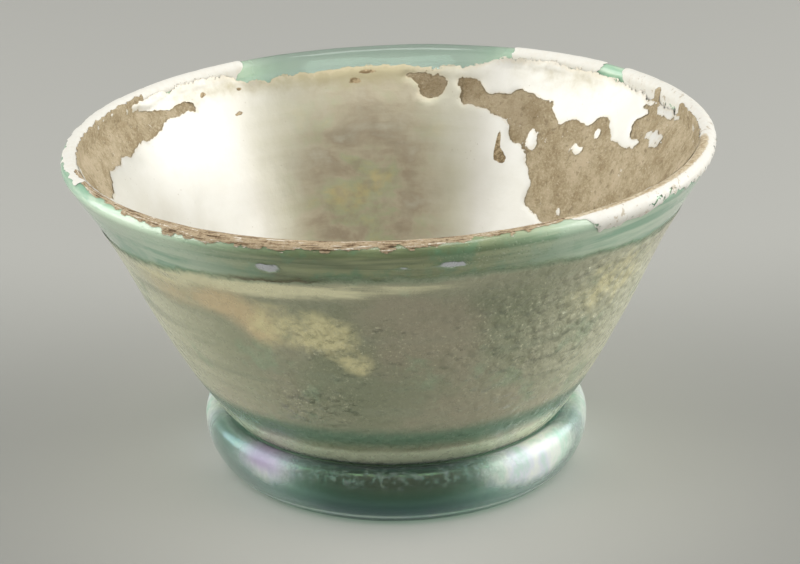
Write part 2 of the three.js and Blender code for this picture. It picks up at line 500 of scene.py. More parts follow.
class Paint:
    """The nodes of one material."""

    def __init__(self, name):
        self.material = bpy.data.materials.new(name)
        self.material.use_nodes = True
        self.tree = self.material.node_tree
        self.tree.nodes.clear()
        self.output = self.tree.nodes.new("ShaderNodeOutputMaterial")
        self.place = self.node("ShaderNodeTexCoord", {}, {}, "Object")

    def node(self, kind, settings, inputs, output=0):
        """Adds a node: its settings first, then the values or links of its sockets."""
        node = self.tree.nodes.new(kind)
        for key, value in settings.items():
            if key == "stops":
                self.set_stops(node.color_ramp, value)
            else:
                setattr(node, key, value)
        for key, value in inputs.items():
            socket = node.inputs[key]
            if isinstance(value, Value):
                self.tree.links.new(value.socket, socket)
            elif isinstance(value, tuple) and len(value) == 3 and socket.type == "RGBA":
                socket.default_value = (*value, 1)
            else:
                socket.default_value = value
        return Value(self, node.outputs[output])

    def set_stops(self, ramp, stops):
        while len(ramp.elements) < len(stops):
            ramp.elements.new(1)
        for element, (place, shade) in zip(ramp.elements, stops):
            element.position = place
            element.color = (*shade, 1)

    def attribute(self, name):
        return self.node("ShaderNodeAttribute", {"attribute_name": name}, {}, "Fac")

    def noise(self, scale, detail=3.0, roughness=0.5, distortion=0.0, stretch=None, place=None):
        """Noise from 0 to 1 with features of about one over the scale, on the object or at another place."""
        place = place or self.place
        if stretch:
            place = self.node("ShaderNodeMapping", {}, {"Vector": place, "Scale": stretch})
        inputs = {"Scale": scale, "Detail": detail, "Roughness": roughness, "Distortion": distortion}
        return self.node("ShaderNodeTexNoise", {}, {"Vector": place, **inputs})

    def cells(self, scale, feature="F1", **inputs):
        """The distance to the middle of the nearest of many cells."""
        inputs = {"Vector": self.place, "Scale": scale, **inputs}
        return self.node("ShaderNodeTexVoronoi", {"feature": feature}, inputs, "Distance")

    def step(self, value, low, high, start=0.0, end=1.0):
        """A smooth step from start to end as the value goes from low to high."""
        settings = {"interpolation_type": "SMOOTHSTEP"}
        inputs = {"Value": value, "From Min": low, "From Max": high, "To Min": start, "To Max": end}
        return self.node("ShaderNodeMapRange", settings, inputs)

    def mix(self, share, first, second):
        """A colour between two colours, which are the Mix node's sockets 6 and 7."""
        inputs = {"Factor": share, 6: first, 7: second}
        return self.node("ShaderNodeMix", {"data_type": "RGBA"}, inputs, 2)

    def coats(self, body, *coats):
        """A colour under coats of other colours, each with its share and its colour."""
        for share, shade in coats:
            body = self.mix(share, body, shade)
        return body

    def ramp(self, value, *stops):
        return self.node("ShaderNodeValToRGB", {"stops": stops}, {"Fac": value})

    def cut(self, edge, softness):
        """Opacity of a skin: clear beyond its edge and on its back."""
        return self.step(edge, -softness, softness) * self.step(self.attribute("face_out"), 0.4, 0.6)

    def bump(self, height, distance, strength=1.0):
        return self.node("ShaderNodeBump", {}, {"Height": height, "Distance": distance, "Strength": strength})

    def shows(self, shader):
        """Puts a shader on the output, in the place of the last one."""
        self.tree.links.new(shader.socket, self.output.inputs["Surface"])
        return shader

    def surface(self, **inputs):
        """A Principled surface on the output."""
        named = {key.replace("_", " "): value for key, value in inputs.items()}
        return self.shows(self.node("ShaderNodeBsdfPrincipled", {}, named))

    def glass(self, share, clear, skin, tint):
        """Clear glass with a share of a skin over it. Both let the light of lamps pass, tinted, so that what
        lies behind is lit."""
        both = self.node("ShaderNodeMixShader", {}, {0: share, 1: clear, 2: skin})
        shadow = self.node("ShaderNodeLightPath", {}, {}, "Is Shadow Ray")
        paler = tuple(channel**0.5 for channel in tint)
        passing = self.node("ShaderNodeBsdfTransparent", {}, {"Color": paler})
        self.shows(self.node("ShaderNodeMixShader", {}, {0: shadow, 1: both, 2: passing}))


def bowl_glass():
    """Clear blue-green blown glass with fine striations and small pits, milky where weathering backs it,
    darker olive towards the front, and with painted sparkles of light among the pits.
    """
    p = Paint("bowl_glass")
    rings = p.noise(420, 2, stretch=(0.06, 0.06, 1))
    waves = p.noise(90, 2)
    pitted = p.attribute("pitted")
    pits = p.step(p.cells(1300), 0.1, 0.3) * pitted
    # Painted sparkles of light: small bright spots among the pits.
    painted_sparkles = p.step(p.noise(1900, 5, 0.75), 0.57, 0.66) * pitted
    streaks = p.step(p.noise(420, 4, 0.6, 0.3, stretch=(0.07, 0.07, 1)), 0.38, 0.62)
    cloud = p.noise(120, 4, 0.6)
    teal = p.coats(
        srgb(164, 206, 174),
        (streaks, srgb(222, 243, 214)),
        (p.step(cloud, 0.45, 0.65) * 0.6, srgb(230, 244, 218)),
        (painted_sparkles * 0.7, srgb(250, 255, 240)),
    )
    # A darker olive for the front of the band.
    brown = p.coats(
        srgb(116, 130, 88),
        (streaks, srgb(166, 174, 126)),
        (p.step(cloud, 0.48, 0.62) * 0.7, srgb(104, 152, 112)),
        (painted_sparkles * 0.5, srgb(240, 244, 214)),
    )
    tint = colours().glass[:]
    clear = p.surface(
        Base_Color=tint,
        Roughness=0.03,
        IOR=1.1,
        Transmission_Weight=1.0,
        Coat_Weight=1.0,
        Coat_Roughness=0.04,
        Normal=p.bump(rings * 0.3 + waves + pits * 0.7, 0.25 * MM, 0.5),
    )
    milky = p.surface(
        Base_Color=p.mix(p.attribute("soiled"), teal, brown),
        Roughness=0.22,
        Coat_Weight=0.6,
        Coat_Roughness=0.1,
        Normal=p.bump(rings * 0.4 + waves + p.noise(900, 4, 0.7) * 0.3 + pits * 0.7, 0.3 * MM, 0.6),
    )
    p.glass(p.attribute("backed"), clear, milky, tint)
    return p.material


def foot_material():
    """The tube's teal glass under a thin pearly skin, with spots along its top. Painted highlights, violet on
    the left, lie where the side lamps reflect and along the far sides; painted shade darkens the middle of
    the front, and a painted bright line runs near the bottom.
    """
    p = Paint("foot_glass")
    grains = p.noise(900, 4, 0.65)
    rim = p.attribute("rim")
    spots = p.step(p.noise(800, 5, 0.75), 0.5, 0.66) * p.attribute("shoulder")
    tint = colours().foot_glass[:]
    # Pale colours of the painted highlights.
    sheen = p.ramp(
        p.noise(110, 4, 0.6, 0.3, stretch=(1, 1, 0.6)),
        (0.34, srgb(196, 230, 210)),
        (0.46, srgb(246, 250, 240)),
        (0.56, srgb(232, 236, 242)),
        (0.68, srgb(196, 230, 210)),
    )
    # The glass colour, with painted shade in the middle of the front, the spots, a darker teal along the
    # bottom and a painted bright line near the bottom.
    body = p.coats(
        tint,
        (p.attribute("dark"), srgb(110, 124, 114)),
        (spots * 0.4, srgb(200, 216, 206)),
        (p.attribute("under"), srgb(112, 160, 138)),
        (rim, srgb(214, 240, 226)),
    )
    relief = p.bump(p.noise(110, 2, stretch=(1, 1, 0.5)) + spots * 0.7 + grains * 0.15, 0.3 * MM, 0.5)
    clear = p.surface(
        Base_Color=body,
        Roughness=0.16,
        IOR=1.45,
        Transmission_Weight=0.92,
        Thin_Film_Thickness=430.0,
        Thin_Film_IOR=1.6,
        Normal=relief,
    )
    # The satin skin that carries the painted highlights.
    pearly = p.surface(
        Base_Color=p.mix(p.attribute("lilac"), sheen, srgb(178, 162, 192)),
        Metallic=0.12,
        Roughness=0.42,
        Coat_Weight=0.25,
        Coat_Roughness=0.3,
        Normal=relief,
    )
    # The satin's share follows the painted highlights, the spots and the painted bright line.
    flecked = p.attribute("pearl") + (grains - 0.5) * 0.3 + (p.noise(160, 3) - 0.5) * 0.3
    share = p.step(flecked, 0.08, 0.9, 0.02, 0.92) + spots * 0.14 + rim * 0.35
    p.glass(share, clear, pearly, tint)
    return p.material


def pearl_film():
    """Silver-white weathering film: pearly, darkened at the rear by painted shade with mottled hues there,
    darker just behind the front lip, and with cream and brown stains.
    """
    c = colours()
    p = Paint("pearl_film")
    cloud = p.noise(70, 5, 0.6)
    fine = p.noise(420, 4, 0.6)
    streaks = p.noise(190, 4, 0.6, 0.4, stretch=(1, 1, 0.3))
    washes = p.noise(60, 4, 0.6, 0.2, stretch=(1, 1, 0.5))
    rings = p.noise(380, 3, 0.6, stretch=(0.12, 0.12, 1))
    dusk = p.attribute("dusk")
    cream = p.attribute("cream")
    # Painted shade: darker, streaked tones at the rear of the inside.
    painted_rear_shade = p.ramp(
        dusk * (washes * 0.9 + streaks * 0.55 + rings * 0.6 - 0.04),
        (0.12, srgb(218, 214, 202)),
        (0.3, srgb(204, 200, 182)),
        (0.5, srgb(192, 187, 164)),
        (0.75, srgb(176, 167, 142)),
        (1.0, srgb(150, 139, 115)),
    )
    hue = p.ramp(
        p.noise(120, 5, 0.62, 0.3, stretch=(0.6, 0.6, 1)),
        (0.34, srgb(196, 184, 124)),
        (0.43, srgb(170, 178, 138)),
        (0.5, srgb(186, 174, 146)),
        (0.58, srgb(156, 138, 114)),
        (0.68, srgb(184, 178, 158)),
    )
    rust = p.step(cream * (fine + streaks * 0.8), 1.16, 1.32) * 0.7
    marks = p.step(p.attribute("marks") * (fine * 2.2 - 0.1), 0.35, 0.5)
    brown = p.mix(p.step(p.noise(1100, 4, 0.7), 0.42, 0.58), srgb(112, 92, 58), srgb(168, 148, 112))
    pits = p.step(p.cells(900), 0.0, 0.18, 1, 0) * p.step(p.noise(260, 2), 0.56, 0.64)
    # A darker olive-green for the film just behind the front lip.
    soiled = p.mix(p.step(p.noise(130, 4, 0.6), 0.4, 0.62), srgb(168, 158, 112), srgb(138, 172, 118))
    edge = p.attribute("edge") + (fine - 0.5) * (0.9 * MM) + (p.noise(1300, 3) - 0.5) * (0.7 * MM)
    body = p.coats(
        c.pearl[:],
        (p.step(cloud, 0.35, 0.7), srgb(232, 230, 222)),
        (p.step(dusk, 0.0, 0.22), painted_rear_shade),
        (p.step(dusk, 0.3, 1.0) * p.step(fine, 0.3, 0.6, 0.2, 0.55), hue),
        (p.step(cream + (fine - 0.5) * 0.7 + (streaks - 0.5) * 0.5, 0.15, 1.0), c.cream[:]),
        (rust + marks, brown),
        (pits * 0.5, srgb(140, 120, 86)),
        (p.attribute("behind_lip"), soiled),
        (p.step(edge, 0.05 * MM, 0.5 * MM, 0.35, 0), srgb(206, 190, 158)),
    )
    p.surface(
        Base_Color=body,
        Metallic=p.step(dusk, 0, 1, 0.28, 0.36),
        Roughness=p.step(cloud, 0.3, 0.7, 0.30, 0.42),
        Alpha=p.cut(edge, 0.04 * MM),
        Normal=p.bump(fine * 0.35 + streaks * 0.4 + rings * 0.3, 0.18 * MM, 0.6),
    )
    return p.material


def brown_crust():
    """Matte burial crust: fibrous, streaked down the wall, in tans and browns."""
    c = colours()
    p = Paint("brown_crust")
    fibres = p.noise(900, 5, 0.65, stretch=(1, 1, 0.22))
    grains = p.noise(2000, 5, 0.75)
    cloud = p.noise(160, 5, 0.65)
    body = p.coats(
        c.dark_crust[:],
        (p.step(fibres * 0.3 + cloud * 0.6 + grains * 0.5, 0.52, 0.84), c.crust[:]),
        (p.step(cloud, 0.5, 0.68) * 0.7, srgb(206, 188, 158)),
        (p.step(grains, 0.55, 0.68) * 0.5, srgb(222, 208, 182)),
        (p.step(p.noise(700, 4, 0.7), 0.56, 0.66) * 0.5, srgb(126, 108, 80)),
        (p.step(p.noise(480, 4, 0.75), 0.66, 0.7) * 0.8, srgb(232, 226, 210)),
        (p.attribute("dark") * 0.7, srgb(120, 102, 72)),
    )
    p.surface(
        Base_Color=body,
        Roughness=0.95,
        Alpha=p.cut(p.attribute("edge"), 0.05 * MM),
        Normal=p.bump(fibres * 0.4 + grains + cloud, 0.35 * MM, 0.9),
    )
    return p.material


def olive_film():
    """Thin iridescent film outside: olive, with cream, peach and gold parts, pebbled and with pits. Painted
    light brightens its left and right sides, painted shade darkens its front middle, painted sparkles dot the
    pebbled parts, painted refraction makes bands round the base, and the cream is partly a painted softbox
    reflection.
    """
    p = Paint("olive_film")
    cloud = p.noise(60, 5, 0.62)
    fine = p.noise(500, 4, 0.6)
    rings = p.noise(300, 4, 0.6, 0.3, stretch=(0.1, 0.1, 1))
    lumps = p.noise(430, 3, 0.55, 0.2)
    pebbles = p.step(p.cells(430, "SMOOTH_F1", Smoothness=0.4), 0.1, 0.6, 1, 0)
    pitted = p.attribute("pitted")
    flake = p.attribute("flake")
    # Near the base, painted refraction: a dark green band over a cream band, with a violet-pink line at the
    # seam.
    green = p.attribute("green") + (rings - 0.5) * 0.5 + (fine - 0.5) * 0.3
    foot = p.step(p.attribute("low") + (cloud - 0.5) * 0.4, 0.2, 0.8)
    lines = p.noise(260, 4, 0.65, 0.6, stretch=(0.14, 0.14, 1))
    # Cream streaks below the film's top, partly a painted reflection of a softbox.
    cream = p.attribute("cream") * (lines * 3.2 - 0.55)
    peach = p.attribute("peach") * (cloud * 1.6 + fine * 0.5 - 0.1)
    gold = p.attribute("gold") * (p.noise(210, 4, 0.6, 0.3) * 1.8 + fine * 0.5 - 0.35)
    # Painted sparkles of light: small bright spots on the pebbled parts.
    painted_sparkles = p.step(p.noise(1500, 5, 0.75, 0.3), 0.57, 0.66) + p.step(p.cells(700), 0.0, 0.16, 0.5, 0)
    edge = p.attribute("edge") + (fine - 0.5) * (1.6 * MM) + (rings - 0.5) * (2.0 * MM)
    rust = p.step(edge, 0.0, 0.4 * MM, 1, 0) * p.attribute("rust") * p.step(flake, 0.1, 0.3, 1, 0)
    body = p.coats(
        colours().olive[:],
        (p.step(cloud, 0.35, 0.65), srgb(178, 177, 148)),
        # Painted light: lighter at the left and right sides.
        (p.attribute("pale"), srgb(246, 245, 210)),
        # Painted shade: darker in the front middle.
        (p.attribute("deep"), srgb(106, 120, 88)),
        (p.step(rings, 0.45, 0.7) * 0.5, srgb(158, 166, 138)),
        (p.step(p.noise(35, 4), 0.5, 0.66) * 0.4, srgb(190, 172, 150)),
        (p.step(p.noise(110, 4, 0.6), 0.55, 0.68) * 0.45, srgb(166, 190, 154)),
        (p.step(green, 0.1, 1.1), srgb(98, 134, 104)),
        (foot, srgb(226, 230, 200)),
        (p.attribute("seam"), srgb(214, 200, 208)),
        (p.step(cream, 0.3, 0.95), srgb(255, 250, 206)),
        (p.step(peach, 0.2, 0.95) * 0.75, srgb(250, 222, 172)),
        (p.step(gold, 0.25, 0.8) * 0.85, srgb(250, 240, 184)),
        (painted_sparkles * pitted * 0.8, srgb(255, 252, 214)),
        (p.step(lumps, 0.36, 0.46, 1, 0) * pitted * 0.3, srgb(128, 136, 104)),
        (p.step(edge, -1.0 * MM, 1.6 * MM, 0.85, 0), srgb(182, 208, 172)),
        (p.step(flake, 0.3, 0.6), srgb(214, 216, 220)),
        (rust * 0.8, srgb(128, 92, 66)),
    )
    relief = (pebbles * 1.1 + lumps * 2.0 + fine * 0.6) * pitted + fine * 0.15 + rings * 0.25
    p.surface(
        Base_Color=body,
        Metallic=0.25,
        Roughness=p.step(fine, 0.3, 0.7, 0.22, 0.36),
        Coat_Weight=0.5,
        Coat_Roughness=0.22,
        Alpha=p.cut(flake * (6 * MM) + edge, 1.1 * MM),
        Normal=p.bump(relief, 0.5 * MM, 1.0),
    )
    return p.material


def white_enamel():
    """Thick white flaking film on the lip, stained tan towards the inside."""
    p = Paint("white_enamel")
    fine = p.noise(700, 4, 0.65)
    specks = p.noise(1300, 4, 0.7)
    flaky = p.attribute("flaky")
    cracks = p.step(p.noise(500, 4, 0.7, 0.4), 0.585, 0.64) * flaky
    holes = p.step(p.noise(420, 4, 0.7, 0.5), 0.58, 0.62) * flaky
    soil = p.mix(p.step(specks, 0.4, 0.6), srgb(176, 154, 120), srgb(216, 202, 172))
    body = p.coats(
        colours().enamel[:],
        (p.step(fine, 0.4, 0.7), srgb(232, 227, 214)),
        (p.step(p.attribute("stain") + (specks - 0.5) * 1.1, 0.35, 0.65), soil),
        (cracks * 0.6, srgb(176, 156, 122)),
    )
    edge = p.attribute("edge") + (fine - 0.5) * (0.5 * MM) + (p.noise(1600, 2) - 0.5) * (0.3 * MM)
    p.surface(
        Base_Color=body,
        Roughness=p.step(fine, 0.3, 0.7, 0.4, 0.6),
        Alpha=p.cut(edge - holes * (1.5 * MM), 0.03 * MM),
        Normal=p.bump(p.noise(260, 3) + p.noise(3000, 2) * 0.1 - cracks * 0.3, 0.15 * MM, 0.35),
    )
    return p.material


def lip_soil():
    """Finely layered soil along the top of the lip: tan, with dark brown and white lines."""
    p = Paint("lip_soil")
    place = p.node("ShaderNodeCombineXYZ", {}, {0: p.attribute("around"), 1: p.attribute("across")})
    layers = p.noise(1, 5, 0.7, 0.3, place=place)
    fine = p.noise(1500, 4, 0.7)
    body = p.ramp(
        layers * 0.75 + fine * 0.25,
        (0.40, srgb(84, 66, 44)),
        (0.455, srgb(144, 120, 88)),
        (0.51, srgb(200, 180, 148)),
        (0.555, srgb(164, 140, 104)),
        (0.60, srgb(238, 230, 212)),
    )
    edge = p.attribute("edge") + (fine - 0.5) * (0.7 * MM) + (layers - 0.5) * (1.2 * MM)
    p.surface(
        Base_Color=body,
        Roughness=0.85,
        Alpha=p.cut(edge, 0.03 * MM),
        Normal=p.bump(layers + fine * 0.5, 0.3 * MM, 0.8),
    )
    return p.material


# Pieces of glass


def polar(place):
    """The radius, the angle in degrees and the height of a place."""
    return math.hypot(place.x, place.y), math.degrees(math.atan2(place.y, place.x)), place.z


class MESH_OT_bowl_glass(bpy.types.Operator):
    """Build the blown glass wall, the foot ring and the broken ring of glass under the base"""

    bl_idname = "mesh.bowl_glass"
    bl_label = "Glass"

    def execute(self, context):
        section = Section()
        finish_piece(self.wall(section), "blown_bowl", ["bowl_body"], bowl_glass())
        finish_piece(self.foot(section), "tubular_foot", ["foot_ring"], foot_material())
        finish_piece(self.scar(section), "broken_ring", ["pontil_scar"], bowl_glass())
        return {"FINISHED"}

    def wall(self, section):
        """The wall, lip and floor in one turned surface, slightly uneven as blown glass is."""
        ways = np.linspace(section.way[0], section.way[-1], 56)
        lip = np.linspace(-4 * MM, 4 * MM, 13)
        ways = np.unique(np.concatenate((ways[np.abs(ways) > 4.6 * MM], lip)))
        points = [section.point(way, 0) for way in ways]
        points[0] = (0, points[0][1])
        points[-1] = (0, points[-1][1])
        bm = turn_profile(points, steps=88)
        layers = float_layers(bm, "way", "pitted", "backed", "soiled")
        for vert in bm.verts:
            radius, _, height = polar(vert.co)
            gaps = [(radius - r) ** 2 + (height - z) ** 2 for r, z in points]
            vert[layers["way"]] = ways[int(np.argmin(gaps))]
        divide(bm, 3)
        merge(bm)
        face_outwards(bm)
        for vert in bm.verts:
            _, angle, _ = polar(vert.co)
            way = vert[layers["way"]]
            outward = -way / MM
            sides = towards(angle, 232, 16) + towards(angle, 288, 13)
            rear = towards(angle, 92, 30, 8)
            thin = 0.12 * rear * smoothstep(outward, -0.6, 1.6)
            # Where the glass has pits, which also carry painted sparkles of light.
            vert[layers["pitted"]] = sides * bell(outward, 5, 3)
            vert[layers["backed"]] = thin + 0.9 * (1 - rear) * smoothstep(outward, -7, -5)
            # Darker towards the front of the band.
            vert[layers["soiled"]] = towards(angle, 268, 30, 4)
            swell = 0.12 * MM * noise.noise(vert.co / (14 * MM))
            vert.co = section.place(*section.point(way, swell), angle)
        return mesh_of(bm)

    def foot(self, section):
        """The hollow tube, open along a hairline slit on its inner side."""
        slit = math.radians(196)
        half_slit = 0.034
        turns = np.linspace(slit - 2 * math.pi + half_slit, slit - half_slit, 110)
        outer = [tube_point(turn, 0, 1.0) for turn in turns]
        inner = [tube_point(turn, sizes().foot_glass, 1.0) for turn in turns[::-1]]
        bm = turn_profile(outer + inner, steps=200, closed=True)
        layers = float_layers(bm, "pearl", "lilac", "dark", "shoulder", "rim", "under")
        for vert in bm.verts:
            radius, angle, height = polar(vert.co)
            up = height / sizes().foot_height
            off = turned(angle, FRONT) - FRONT
            # The pearl layer is painted highlight: patches where the right and left lamps reflect, and
            # painted light along the far sides.
            right = bell(off, 46, 17) * bell(up, 0.74, 0.34)
            left = bell(off, -42, 12) * bell(up, 0.8, 0.3)
            edges = smoothstep(abs(off), 62, 84) * (1 - 0.5 * smoothstep(abs(off), 100, 130))
            vert[layers["pearl"]] = min(1, 1.3 * right + 0.8 * left + 0.55 * edges)
            # Violet tint of the painted highlight on the left.
            vert[layers["lilac"]] = bell(off, -44, 12) * smoothstep(up, 0.5, 0.85)
            # Painted shade in the middle of the front.
            vert[layers["dark"]] = bell(off, -3, 27, 4)
            vert[layers["shoulder"]] = bell(off, 2, 36, 4) * smoothstep(up, 0.6, 0.85)
            # A painted bright line near the bottom of the tube.
            vert[layers["rim"]] = 0.9 * bell(up, 0.16, 0.03)
            vert[layers["under"]] = 0.8 * (1 - smoothstep(up, 0.09, 0.13))
            swell = 1 + 0.004 * noise.noise(vert.co / (12 * MM))
            vert.co = section.place(radius * swell, height, angle)
        return mesh_of(bm)

    def scar(self, section):
        """A rough ring where the iron was broken off, with a jagged lower edge."""
        half = 1.2 * MM
        middle = 8 * MM
        roof = 7.0 * MM
        outline = [
            (middle - half, roof),
            (middle - half * 0.6, roof - 1.2 * MM),
            (middle, roof - 1.5 * MM),
            (middle + half * 0.5, roof - 1.1 * MM),
            (middle + half, roof),
        ]
        bm = turn_profile(outline, steps=60, closed=True)
        divide(bm, 2)
        face_outwards(bm)
        for vert in bm.verts:
            radius, angle, height = polar(vert.co)
            bite = 1 + 0.55 * noise.noise(vert.co / (1.6 * MM)) + 0.3 * noise.noise(vert.co / (0.6 * MM))
            vert.co = section.place(radius, roof - max(0.0, roof - height) * bite, angle)
        return mesh_of(bm, smooth=False)


# Places on the wall. A line gives angles in degrees, each with a height or a way in millimetres.
# A soft spot is its strength, its angle and height, and how far it spreads in both.

RIGHT_CRUST = [
    (71, 53.1), (69.5, 55.6), (68, 55.7), (64, 55.3), (59, 56.5), (53, 55.4), (50, 55), (51, 54.3),
    (48, 51.9), (44, 53.1), (39, 52.9), (37, 54.8), (34, 54.7), (31, 51.9), (25, 51.6), (21, 53.5),
    (26, 53.7), (27, 56.2), (23, 58.3), (25.5, 59.0), (22.5, 60.3), (19.5, 58.9), (14, 59.2), (10, 61.2),
    (6, 63), (-2, 63), (-22, 63), (-38, 62), (-38, 47), (-24, 41), (-8, 37), (8, 33), (24, 31), (38, 32),
    (45, 34.4), (51, 36.4), (52, 37.1), (51, 40.4), (53, 43), (55, 46), (59, 47.8), (61, 50.9), (65, 51.9),
]
REAR_CRUST_A = [(86, 58), (84, 58.4), (77, 57.7), (76.4, 55), (80.5, 53.4), (82.5, 54.6), (82.8, 56.5)]
REAR_CRUST_B = [(74.2, 57.6), (69, 57.5), (68, 55.6), (67.5, 53), (71.5, 52.9), (73.4, 54.6)]
LEFT_CRUST = [
    (191, 62), (184, 63), (177, 63), (170, 63), (165, 61.2), (160, 63), (155, 61.8), (150, 60.6),
    (146, 59.5), (143, 58.4), (138, 59.1), (135, 57.9), (135, 56.6), (137, 57.1), (143, 56.9), (147, 56.1),
    (149, 54.9), (154, 55.5), (160, 54.2), (164, 55), (166, 54.2), (172, 55), (176, 52.5), (180, 51.9),
    (183, 53.4), (188, 56.3), (191, 58.2),
]
# Holes in the crust: angle, height, and half the width and half the height of each
ISLANDS = [
    (53.5, 48.4, 1.4, 1.9), (40.5, 48.3, 2.3, 0.9), (36, 52.1, 0.8, 0.8), (17, 55.4, 3.2, 1.2),
    (40, 36.7, 0.8, 0.7),
]
CRUST_START = 0.8 * MM
CRUST_SHADES = [(0.9, 76, 56, 12, 5), (0.5, 58, 52, 6, 5)]

# The way at which the white film inside starts
FILM_TOP = [
    (0, 2.6), (10, 3.6), (22, 4.2), (30, 3.6), (38, 2.6), (60, 2.2), (66, 2.6), (70, 4.2), (76, 5.4),
    (87, 4.9), (98, 4.7), (109, 5.1), (115, 5.6), (121, 4.8), (125, 2.4), (160, 2.0), (190, 1.6),
    (200, 1.3), (290, 1.3), (320, 1.3), (345, 1.8), (360, 2.6),
]
FILM_MARKS = [
    (1, 123, 58.7, 0.8, 0.4), (1, 125, 54.4, 1.1, 0.4), (1, 132, 59.2, 0.7, 0.6), (1, 97, 57.4, 1.8, 0.5),
    (1, 94, 58.9, 2.0, 0.4), (1, 62.2, 46.4, 0.6, 2.6), (1, 61.4, 44.4, 1.3, 1.0), (1, 60.2, 43.8, 0.9, 0.6),
]
FILM_CREAMS = [
    (1.15, 96, 59.4, 16, 3.2), (0.45, 122, 59.4, 12, 3.0), (0.5, 48, 60.2, 17, 3.6), (0.35, 138, 60, 12, 2.6),
]

# The height to which the film outside reaches, and the flakes of it that hang on above
OUTER_TOP = [
    (90, 53), (203, 51.6), (221, 53.1), (235, 54.7), (246, 55.8), (263, 57.2), (288, 57.2), (309, 55.7),
    (321, 53.9), (345, 53), (450, 53),
]
OUTER_FLAKES = [
    (1, 250, 58.9, 2.4, 1.0), (1, 279.5, 59.6, 3.4, 0.8), (0.8, 213, 59.4, 1.6, 1.2),
    (0.8, 221, 60.2, 1.2, 1.4), (0.6, 272, 59.4, 1.6, 0.5),
]
FLAKE_ANGLES = (214, 250, 279)
OUTER_PITS = [(1, 306, 42, 26, 14), (0.7, 260, 42, 12, 8), (1.4, 251, 27.5, 9, 3.6)]
# Soft spots of the film's tones. The cream streaks are partly a painted softbox reflection; the spots that
# lighten the left and right sides are painted light, those that darken the front middle painted shade, and
# the green band near the base painted refraction.
OUTER_TONES = {
    "cream": [(1, 252, 53.8, 20, 2.4), (0.8, 226, 51, 14, 2.8), (0.35, 280, 55, 14, 1.6)],
    "deep": [(0.35, 270, 30, 26, 12), (0.4, 286, 49, 13, 5)],
    "peach": [(1, 238, 48.6, 8, 4), (0.8, 244, 43, 5, 4), (0.7, 222, 47.5, 10, 4)],
    "gold": [
        (1, 259, 43.5, 6, 5), (0.8, 248, 45, 9, 6), (0.7, 263, 37, 4, 3), (0.75, 318, 47, 16, 8),
        (0.5, 222, 50, 14, 4),
    ],
    "pale": [(0.95, 203, 45, 27, 40), (0.95, 337, 42, 27, 40)],
    "green": [(1, 270, 18.8, 400, 2.9)],
}

# The way at which each layer on the lip ends outside
ENAMEL_RIGHT = [
    (298, 0.2), (303, -1.5), (306, -4.6), (314, -4.2), (322, -2.6), (335, -3.2), (350, -2.8), (370, -1.8),
    (396, -1.2),
]
ENAMEL_REAR = [(40, -0.4), (44, -1.7), (60, -1.6), (64, -1.0)]
ENAMEL_LEFT = [(120, -1.5), (150, -1.2), (170, -1.0), (190, -1.2), (204, -0.8)]
LIP_SOIL = [(194, 0.1), (205, -0.3), (218, -0.6), (232, -1.9), (262, -1.9), (285, -1.0), (302, -0.1)]


def line_at(line, angle, **period):
    turns, values = zip(*line)
    return np.interp(angle, turns, values, **period)


def film_top(angle):
    return line_at(FILM_TOP, angle, period=360) * MM


def crust_reach(section, skin):
    """How far each point is inside the brown crust, negative outside it."""
    below_lip = SimpleNamespace(angle=skin.angle, reach=skin.reach, way=np.maximum(skin.way, 3.5 * MM))
    reach = np.full(len(skin.way), -1.0)
    for outline in (RIGHT_CRUST, REAR_CRUST_A, REAR_CRUST_B, LEFT_CRUST):
        on_wall = [(angle, float(section.inside(height * MM))) for angle, height in outline]
        reach = np.maximum(reach, reach_into(below_lip, on_wall))
    for angle, height, spread, rise in ISLANDS:
        across = np.radians(turned(skin.angle, angle) - angle) * skin.reach / (spread * 0.9 * MM)
        up = (skin.way - section.inside(height * MM)) / (rise * 1.15 * MM)
        reach = np.minimum(reach, (np.sqrt(across**2 + up**2) - 1) * 0.9 * MM)
    return reach


def crust_span(section, angles, lowest):
    """The angles that the crust reaches between two angles, and its first and last way at each."""
    margin = 2.2 * MM
    turns = np.arange(angles[0], angles[1] + 0.5)
    ways = np.linspace(CRUST_START, lowest, 200)
    angle, way = (values.ravel() for values in np.meshgrid(turns, ways, indexing="ij"))
    near = crust_reach(section, SimpleNamespace(angle=angle, way=way, reach=WALL_REACH)) > -margin
    near = near.reshape(len(turns), len(ways))
    used = near.any(axis=1)
    first = ways[np.argmax(near, axis=1)]
    last = ways[len(ways) - 1 - np.argmax(near[:, ::-1], axis=1)]
    return turns[used], first[used], last[used]


